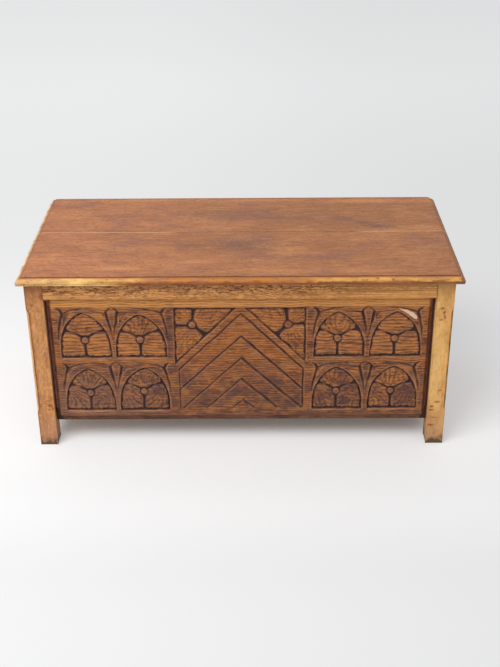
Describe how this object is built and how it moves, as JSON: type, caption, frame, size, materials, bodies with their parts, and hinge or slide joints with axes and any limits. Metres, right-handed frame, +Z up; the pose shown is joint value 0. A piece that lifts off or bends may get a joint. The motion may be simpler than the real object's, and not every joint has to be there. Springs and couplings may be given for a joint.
{
  "type": "coffer chest",
  "caption": "Joined oak coffer on four post feet, with a carved front panel of pointed arches and chevrons and a flat moulded lid hinged along the back.",
  "frame": {"origin": "on the floor, under the middle of the lid", "axes": "+X to the right seen from the front, +Y from the carved front to the back, +Z up"},
  "size_m": [1.016, 0.5, 0.456],
  "materials": {
    "lid_oak": "satin polished oak",
    "frame_oak": "satin waxed oak",
    "carved_oak": "waxed carved oak, darker in the cuts",
    "inner_oak": "bare sawn and planed oak",
    "hinge_brass": "dulled",
    "steel_fastenings": "dull"
  },
  "bodies": {
    "carcase": {"back_bottom_rail": "frame_oak", "back_floor_bearer": "inner_oak", "back_left_panel": "frame_oak", "back_left_post": "frame_oak", "back_muntin": "frame_oak", "back_right_panel": "frame_oak", "back_right_post": "frame_oak", "back_top_rail": "frame_oak", "carved_front_panel": "carved_oak", "floor_bearer_nails": "steel_fastenings", "floor_board_1": "inner_oak", "floor_board_2": "inner_oak", "floor_board_3": "inner_oak", "floor_board_4": "inner_oak", "floor_board_5": "inner_oak", "floor_board_6": "inner_oak", "floor_board_7": "inner_oak", "floor_nails": "steel_fastenings", "front_bottom_rail": "frame_oak", "front_floor_bearer": "inner_oak", "front_left_post": "frame_oak", "front_right_post": "frame_oak", "front_top_rail": "frame_oak", "hinge_frame_screws": "steel_fastenings", "left_bottom_rail": "frame_oak", "left_end_panel": "frame_oak", "left_hinge_frame_leaf": "hinge_brass", "left_hinge_pin": "hinge_brass", "left_top_rail": "frame_oak", "right_bottom_rail": "frame_oak", "right_end_panel": "frame_oak", "right_hinge_frame_leaf": "hinge_brass", "right_hinge_pin": "hinge_brass", "right_top_rail": "frame_oak"},
    "lid": {"hinge_lid_screws": "steel_fastenings", "left_hinge_lid_leaf": "hinge_brass", "lid_back_board": "lid_oak", "lid_batten_screws": "steel_fastenings", "lid_front_board": "lid_oak", "lid_left_batten": "inner_oak", "lid_right_batten": "inner_oak", "right_hinge_lid_leaf": "hinge_brass"}
  },
  "joints": [
    {"name": "lid_hinge", "type": "hinge", "parent": "carcase", "child": "lid", "pos_m": [0, 0.236, 0.437], "axis": [-1, 0, 0], "range_deg": [0, 105]}
  ]
}
